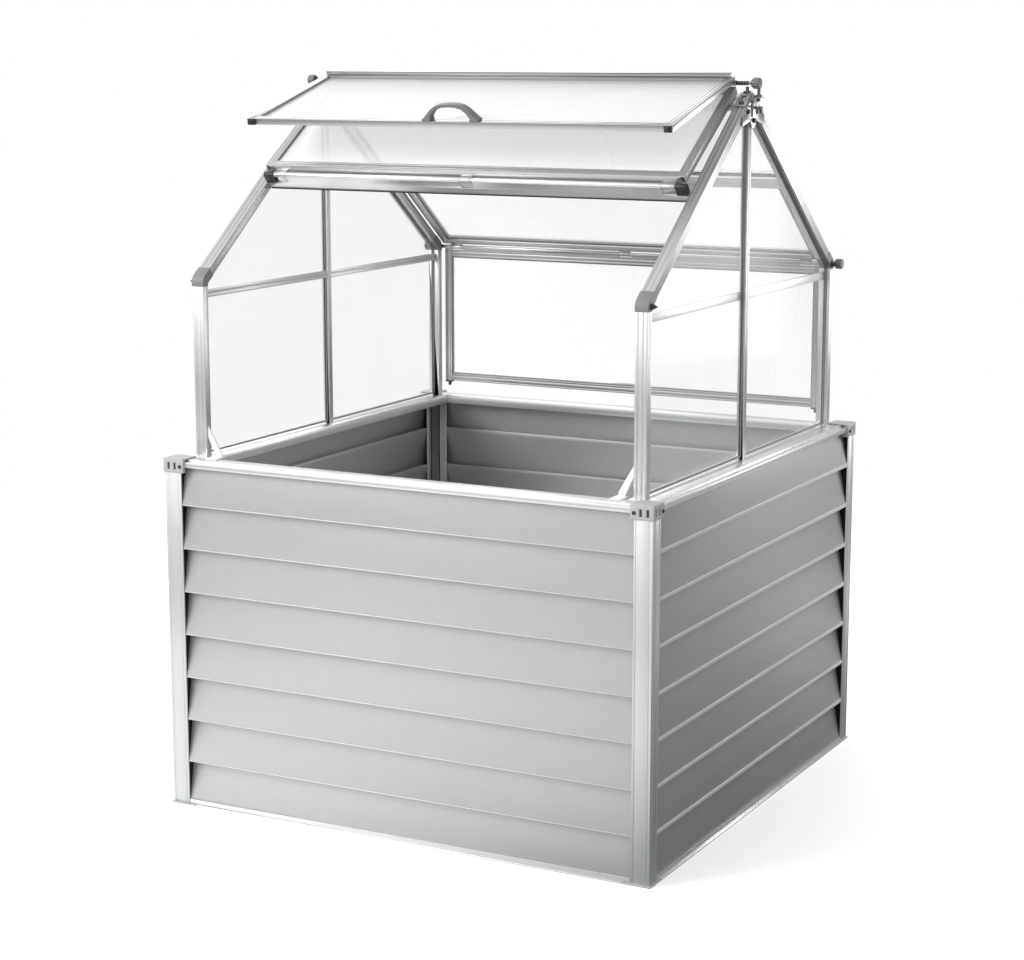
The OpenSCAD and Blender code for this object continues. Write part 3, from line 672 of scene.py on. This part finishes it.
eased_copy("ridge_rail", 0.0007, bright_x)
eased_copy("gable_rails", 0.0005, drawn_metal("gable rail", 1, SILVER_DARK, SILVER_LIGHT))
for side in ("left", "right"):
    eased_copy("gable_post_" + side, 0.0005, upright_metal)
apex_metal = drawn_metal("apex plate", 2, (0.30, 0.305, 0.31), (0.44, 0.445, 0.45), 0.34, 0.8)
eased_copy("apex_plates", 0.0006, apex_metal)


# ---------------------------------------------------------------- ridge fittings
# Over each end of the ridge sits a folded saddle of slotted plate, bolted down each slope and
# held by an upright screw. A short pin stands out over the gable, and a metal tab behind the
# apex carries a second upright screw.

ROOF_RISE = 0.400
ROOF_RUN = 0.530
SADDLE_T = 0.0024
SADDLE_LEN = 0.046
SADDLE_W = 0.026
STRIP_PLACE = 0.0095
STRIP_HALF = 0.0035
BRIDGE_HALF = 0.0125
BRIDGE_LEN = 0.006
BRIDGE_PLACES = (0.006, 0.025, 0.042)
TAB_X = 0.5545
TAB_SCREW_Y = 0.016
ridge_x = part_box("rafter_front_right")[1].x - SADDLE_W / 2 - 0.001
ridge_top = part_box("rafter_front_right")[1].z
apex_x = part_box("apex_plates")[1].x
slope_angle = math.atan2(ROOF_RISE, ROOF_RUN)
saddle_metal = drawn_metal("saddle plate", 1, (0.34, 0.35, 0.36), (0.50, 0.51, 0.52), 0.36, 0.8)
for side in (-1, 1):
    name = "left" if side < 0 else "right"
    x = side * ridge_x
    crown = Vector((x, 0, ridge_top + 0.0004))
    plates = []
    for wall in (-1, 1):
        for strip in (x - STRIP_PLACE, x + STRIP_PLACE):
            plate = bar((strip - STRIP_HALF, 0, crown.z),
                        (strip + STRIP_HALF, wall * SADDLE_LEN, crown.z + SADDLE_T))
            plates.append(tip(plate, -wall * slope_angle, crown))
        for down in BRIDGE_PLACES:
            bridge = bar((x - BRIDGE_HALF, wall * down, crown.z),
                         (x + BRIDGE_HALF, wall * (down + BRIDGE_LEN), crown.z + SADDLE_T))
            plates.append(tip(bridge, -wall * slope_angle, crown))
    merged("ridge_saddle_" + name, plates, saddle_metal, "frame")
    screws = [turned((x, 0.004, crown.z - 0.001), (x, 0.004, crown.z + 0.004), 0.0085),
              turned((x, 0.004, crown.z + 0.004), (x, 0.004, crown.z + 0.013), 0.0036)]
    for wall in (-1, 1):
        head = turned((x, wall * 0.034, crown.z), (x, wall * 0.034, crown.z + 0.0065), 0.0046)
        screws.append(tip(head, -wall * slope_angle, crown))
        out_x = side * (apex_x + 0.0002)
        drop = ridge_top - 0.015 - 0.012 * (wall + 1)
        screws.append(turned((out_x, wall * 0.013, drop), (out_x + side * 0.006, wall * 0.013, drop), 0.0052))
    screws.append(turned((side * apex_x, -0.002, ridge_top - 0.031),
                         (side * (apex_x + 0.020), -0.002, ridge_top - 0.031), 0.0034))
    screws.append(turned((side * TAB_X, TAB_SCREW_Y, ridge_top - 0.018),
                         (side * TAB_X, TAB_SCREW_Y, ridge_top + 0.013), 0.0034))
    screws.append(turned((side * TAB_X, TAB_SCREW_Y, ridge_top - 0.0085),
                         (side * TAB_X, TAB_SCREW_Y, ridge_top - 0.0035), 0.0068))
    merged("ridge_screws_" + name, screws, dark_plastic, "frame")
    tab = bar((side * (TAB_X - 0.0085), TAB_SCREW_Y - 0.010, ridge_top - 0.0115),
              (side * (TAB_X + 0.0085), TAB_SCREW_Y + 0.010, ridge_top - 0.0088))
    arm = bar((side * (TAB_X - 0.0040), -0.012, ridge_top - 0.050),
              (side * (TAB_X - 0.0010), 0.010, ridge_top - 0.010))
    merged("ridge_tab_" + name, [tab, arm], saddle_metal, "frame")


# ---------------------------------------------------------------- purlins and corner braces
# A deep grooved rail crosses each slope half-way up and carries the round bead of the hinge.
# Black blocks at its ends hold the pins. Short white struts steady the front posts.

white_paint, place = new_material("white painted strut")
chips = noise(place, (220.0, 220.0, 220.0), 8.0)
dress(white_paint, {
    "Base Color": blend_colours(chips, (0.76, 0.76, 0.75), (0.86, 0.86, 0.85)),
    "Roughness": 0.32 + 0.15 * chips,
})
for node in ("front_purlin", "rear_purlin"):
    eased_copy(node, 0.0006, bright_x)
# A thin near-black strip along the lower edge of each purlin is painted shadow: the shadow line beneath the
# purlin.
SLOPE_TOP_Z = 1.586
SHADOW_LINE_DOWN_SLOPE = 0.3370
SHADOW_LINE_BELOW_SLOPE = 0.0185
SHADOW_LINE_HALF_LEN = 0.516
SHADOW_LINE_HALF_T = 0.0009
for wall in (-1, 1):
    shadow_line_y = wall * (SHADOW_LINE_DOWN_SLOPE * math.cos(slope_angle) - SHADOW_LINE_BELOW_SLOPE * math.sin(slope_angle))
    shadow_line_z = SLOPE_TOP_Z - SHADOW_LINE_DOWN_SLOPE * math.sin(slope_angle) - SHADOW_LINE_BELOW_SLOPE * math.cos(slope_angle)
    box_piece(f"purlin_shadow_strip_{wall + 1}",
              (-SHADOW_LINE_HALF_LEN, shadow_line_y - SHADOW_LINE_HALF_T, shadow_line_z - SHADOW_LINE_HALF_T),
              (SHADOW_LINE_HALF_LEN, shadow_line_y + SHADOW_LINE_HALF_T, shadow_line_z + SHADOW_LINE_HALF_T),
              0.0003, painted_shade_rubber, "frame")
eased_copy("corner_braces", 0.0008, white_paint)
eased_copy("purlin_end_blocks", 0.0008, black_plastic)
pin_metal = drawn_metal("turned pin", 0, (0.42, 0.42, 0.43), (0.60, 0.60, 0.61), 0.25, 1.0)
eased_copy("fold_pins", 0.0004, pin_metal)
eased_copy("bolts", 0.0006, black_plastic, 3)


# ---------------------------------------------------------------- glazing
# Clear polycarbonate fills the gables and the upper roof. The leaves have translucent
# twin-walled sheet, whose inner ribs show as faint lines down the slope. The leaf sheets carry painted
# light and shade: most of them glow, and the front ones are painted greyer than the rear ones.

RIB_SCALE = 39.3


def clear_sheet(name):
    """Clear sheet with a slight streaky haze and rain spots."""
    material, place = new_material(name)
    haze = noise(place, (2.2, 2.2, 0.7), 2.0)
    spots = noise(place, (160.0, 160.0, 90.0), 2.0)
    dress(material, {
        "Base Color": blend_colours(haze, (0.86, 0.89, 0.90), (0.96, 0.97, 0.98)),
        "Roughness": 0.06 + 0.10 * haze + 0.06 * spots,
        "Alpha": 0.04 + 0.10 * haze + 0.02 * spots,
    })
    return material


def ribbed_sheet(name, shade, alpha, glow):
    """Twin-walled sheet: ribs 8 mm apart down the slope, milky, with a painted glow of strength glow for
    light passing through it.
    """
    material, place = new_material(name)
    ribs = place.node("TexWave", {"bands_direction": "X"},
                      {"Vector": place, "Scale": RIB_SCALE, "Distortion": 0.0})
    milk = noise(place, (2.6, 2.6, 2.6), 1.0)
    dark = tuple(0.96 * part for part in shade)
    dress(material, {
        "Base Color": blend_colours(0.35 * ribs + 0.65 * milk, dark, shade),
        # Painted light: the sheet glows by glow as if lit through, though it is no lamp.
        "Emission Color": blend_colours(milk, dark, shade),
        "Emission Strength": glow,
        "Roughness": 0.22 + 0.12 * milk,
        "Alpha": alpha + 0.06 * milk - 0.05 * ribs,
        "Normal": place.node("Bump", {}, {"Strength": 0.04, "Distance": 0.0003, "Height": ribs}),
    })
    return material


clear = clear_sheet("clear polycarbonate")
for node in ("gable_panes_left", "gable_panes_right", "front_upper_pane", "rear_upper_pane"):
    paint(nodes[node], clear)
# One sheet painted four ways: the front leaves greyer as painted shade, the rear leaves paler, and all but
# the front wall leaf glowing as painted light.
rear_leaf_glow_sheet = ribbed_sheet("thin twin-walled sheet", (0.95, 0.955, 0.96), 0.22, 0.30)
leaf_sheets = {
    "front_roof_leaf_pane": ribbed_sheet("dense twin-walled sheet", (0.84, 0.845, 0.85), 0.55, 0.27),
    "front_wall_leaf_pane": ribbed_sheet("white twin-walled sheet", (0.60, 0.605, 0.61), 0.60, 0.0),
    "rear_roof_leaf_pane": rear_leaf_glow_sheet,
    "rear_wall_leaf_pane": rear_leaf_glow_sheet,
}
for node, sheet in leaf_sheets.items():
    paint(nodes[node], sheet)


# ---------------------------------------------------------------- glazing seals
# A soft grey lip runs round each pane where it leaves its groove, on both faces. It is
# pushed in after the pane and keeps the rain out.

SEAL_W = 0.0030
SEAL_T = 0.0012
GROOVE = 0.0050
LARGE_FACE = 0.05
seal_rubber = rubber("grey seal rubber", (0.22, 0.225, 0.23), (0.34, 0.345, 0.35))


def pane_seal(node):
    """Strips round both large faces of a pane, just inside its groove."""
    piece = copy_of(node, "_seal")
    bpy.ops.object.mode_set(mode="EDIT")
    bpy.ops.mesh.select_all(action="DESELECT")
    bpy.ops.object.mode_set(mode="OBJECT")
    for face in piece.data.polygons:
        face.select = face.area > LARGE_FACE
    bpy.ops.object.mode_set(mode="EDIT")
    bpy.ops.mesh.inset(thickness=GROOVE, depth=0)
    bpy.ops.mesh.select_all(action="INVERT")
    bpy.ops.mesh.delete(type="FACE")
    bpy.ops.mesh.select_all(action="SELECT")
    bpy.ops.mesh.inset(thickness=SEAL_W, depth=0)
    bpy.ops.mesh.delete(type="FACE")
    bpy.ops.object.mode_set(mode="OBJECT")
    wall = piece.modifiers.new("lip thickness", "SOLIDIFY")
    wall.thickness = SEAL_T
    wall.offset = 1
    bpy.ops.object.modifier_apply(modifier=wall.name)
    paint(piece, seal_rubber)
    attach(piece, body_of[node])


for node in sorted(nodes):
    if "pane" in node:
        pane_seal(node)


# ---------------------------------------------------------------- roof and wall leaves
# Each leaf is four grooved bars round its sheet. The wall leaf has a round bead along its
# hinge edge, black end caps under its stiles, and a bow handle on its lower rail.

KNOB_W = 0.016
FLUTES = 12
FLUTE_RING = 0.0105
FLUTE_R = 0.0014
FLUTE_SHORT = 0.0015
RINGS = 5
RING_FROM = 0.5125
RING_PITCH = 0.006
RING_W = 0.0035
RING_R = 0.0047
leaf_metal = drawn_metal("leaf bar", 0, (0.46, 0.465, 0.47), (0.62, 0.625, 0.63), 0.3, 0.85)
for side in ("front", "rear"):
    eased_copy(side + "_roof_leaf_frame", 0.0005, leaf_metal)
    eased_copy(side + "_wall_leaf_frame", 0.0005, leaf_metal)
    eased_copy(side + "_roof_leaf_knuckles", 0.0006, leaf_metal)
    eased_copy(side + "_wall_leaf_caps", 0.0010, black_plastic)
    eased_copy(side + "_fold_knobs", 0.0010, dark_plastic, 3)
    knob_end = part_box(side + "_fold_knobs")[1].x
    fold = Vector(joints[side + "_wall_fold"]["pos_m"])
    for end in (-1, 1):
        out = Vector((end, 0, 0))
        grips = []
        for step in range(FLUTES):
            turn = step * math.tau / FLUTES
            middle = fold + Vector((0, FLUTE_RING * math.cos(turn), FLUTE_RING * math.sin(turn)))
            grips.append(turned(middle + out * (knob_end - KNOB_W + FLUTE_SHORT),
                                middle + out * (knob_end - FLUTE_SHORT), FLUTE_R, 0.0003, 10))
        merged(f"{side}_knob_flutes_{end + 1}", grips, dark_plastic, side + "_roof_leaf")
        washer = turned(fold + out * (knob_end - KNOB_W - 0.0026),
                        fold + out * (knob_end - KNOB_W - 0.0002), 0.0085)
        rings = []
        for at in range(RINGS):
            start_x = RING_FROM + at * RING_PITCH
            rings.append(turned(fold + out * start_x, fold + out * (start_x + RING_W), RING_R))
        merged(f"{side}_fold_washers_{end + 1}", [washer, *rings], black_plastic,
               side + "_roof_leaf")


# ---------------------------------------------------------------- weather bars and painted shade strips
# A square bar along the top of each wall leaf throws rain off the fold. Thin dark strips along its
# underside and across the leaf's outer rails are painted shade: the shade lines at those edges. All are
# made on the closed leaf, and the front set is then turned with its leaf to its rest.

OPEN_WALL = math.radians(109.5)
OPEN_ROOF = math.radians(-183.5)
rear_fold = Vector(joints["rear_wall_fold"]["pos_m"])
front_fold = Vector((0, -rear_fold.y, rear_fold.z))
roof_fold = Vector(joints["front_roof_fold"]["pos_m"])
leaf_low, leaf_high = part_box("rear_wall_leaf_frame")
shade_rubber = rubber("dark draught rubber", (0.07, 0.072, 0.075), (0.13, 0.132, 0.135))
BAR_HALF_LEN = 0.507
BAR_TOP = 0.0090
BAR_LOW = 0.0175
BAR_OUT = 0.0090
RUBBER_HALF_LEN = 0.508
RUBBER_T = 0.0012


def to_rest(part):
    """Turns a part of the closed front wall leaf to where that leaf rests."""
    return tip(tip(part, OPEN_WALL, front_fold), OPEN_ROOF, roof_fold)


for side in (-1, 1):
    strips = []
    face_y = side * (leaf_high.y + 0.0002)
    weather = bar((-BAR_HALF_LEN, face_y, rear_fold.z - BAR_LOW),
                  (BAR_HALF_LEN, face_y + side * BAR_OUT, rear_fold.z - BAR_TOP), 0.0008)
    # Dark strips at the bar's lower edges and on the leaf's rails paint the shade lines there.
    for out in (0.0009, 0.0079):
        near_y = face_y + side * out
        strips.append(bar((-BAR_HALF_LEN, near_y, rear_fold.z - BAR_LOW - 0.0004),
                          (BAR_HALF_LEN, near_y + side * RUBBER_T, rear_fold.z - BAR_LOW + 0.0004), 0.0002))
    for height in (rear_fold.z - 0.0215, leaf_low.z + 0.0045, leaf_low.z + 0.0135):
        strips.append(bar((-RUBBER_HALF_LEN, face_y, height - 0.0008),
                          (RUBBER_HALF_LEN, face_y - side * RUBBER_T, height + 0.0008), 0.0003))
    if side < 0:
        strips = [to_rest(strip) for strip in strips]
        weather = to_rest(weather)
    name = "front" if side < 0 else "rear"
    merged(name + "_draught_strips", strips, shade_rubber, name + "_wall_leaf")
    merged(name + "_weather_bar", [weather], leaf_metal, name + "_wall_leaf")


# ---------------------------------------------------------------- bow handles
# A moulded bow with wide flat feet stands on each wall leaf's lower rail, held by two
# screws a foot. It is drawn out along its bow from one foot to the other.

handle_plastic = moulded_plastic("handle plastic", (0.12, 0.123, 0.126), (0.20, 0.204, 0.208), 0.45)
# One half of the bow in millimetres and degrees: place along it, height, thickness, turn, depth.
BOW = [(-58, 0, 22, 0, 22), (-58, 3.2, 22, 0, 22), (-55.5, 6.5, 15, 12, 20), (-50, 13.5, 11, 32, 19),
       (-42, 22.5, 9.5, 44, 18.5), (-31, 29.8, 8.4, 62, 18), (-17, 33.4, 7.4, 80, 18), (0, 34.3, 7, 90, 18)]
BOW += [(-x, h, thick, 180 - turn, deep) for x, h, thick, turn, deep in reversed(BOW[:-1])]


def bow():
    """The bow lying on the XY plane with its feet down, drawn out section by section."""
    deselect()
    x, h, thick, turn, deep = BOW[0]
    bpy.ops.mesh.primitive_plane_add(size=0.001, location=(x / 1000, 0, h / 1000))
    part = bpy.context.active_object
    settle()
    bpy.ops.object.mode_set(mode="EDIT")
    bpy.ops.mesh.select_all(action="SELECT")
    centre = Vector((x / 1000, 0, h / 1000))
    bpy.ops.transform.resize(value=(thick, deep, 1), center_override=centre)
    for x, h, now_thick, now_turn, now_deep in BOW[1:]:
        step = Vector((x / 1000, 0, h / 1000)) - centre
        centre = centre + step
        bpy.ops.mesh.extrude_region_move(TRANSFORM_OT_translate={"value": step})
        across = now_thick / thick
        bpy.ops.transform.resize(value=(across, now_deep / deep, across), center_override=centre)
        bpy.ops.transform.rotate(value=math.radians(turn - now_turn), orient_axis="Y",
                                 center_override=centre)
        thick, turn, deep = now_thick, now_turn, now_deep
    bpy.ops.mesh.select_all(action="SELECT")
    bpy.ops.mesh.normals_make_consistent(inside=False)
    bpy.ops.object.mode_set(mode="OBJECT")
    round_edges(part, 0.0018, 3, math.radians(50))
    return part


SCREW_X = 0.0635
SCREW_Y = 0.006
handle_low, handle_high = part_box("rear_handle")
for side in (-1, 1):
    name = "front" if side < 0 else "rear"
    seat = Vector((0, side * handle_low.y, (handle_low.z + handle_high.z) / 2))
    screws = [turned((end * SCREW_X, across, 0.0030), (end * SCREW_X, across, 0.0050), 0.0027)
              for end in (-1, 1) for across in (-SCREW_Y, SCREW_Y)]
    grip = bow()
    placed = []
    for part in [grip, *screws]:
        part = tip(part, math.radians(-90 * side), (0, 0, 0))
        part.location = seat
        settle()
        if side < 0:
            part = to_rest(part)
        placed.append(part)
    handle = merged(name + "_bow_handle", placed[:1], handle_plastic, name + "_wall_leaf")
    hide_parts(name + "_handle")
    merged(name + "_handle_screws", placed[1:], black_plastic, name + "_wall_leaf")
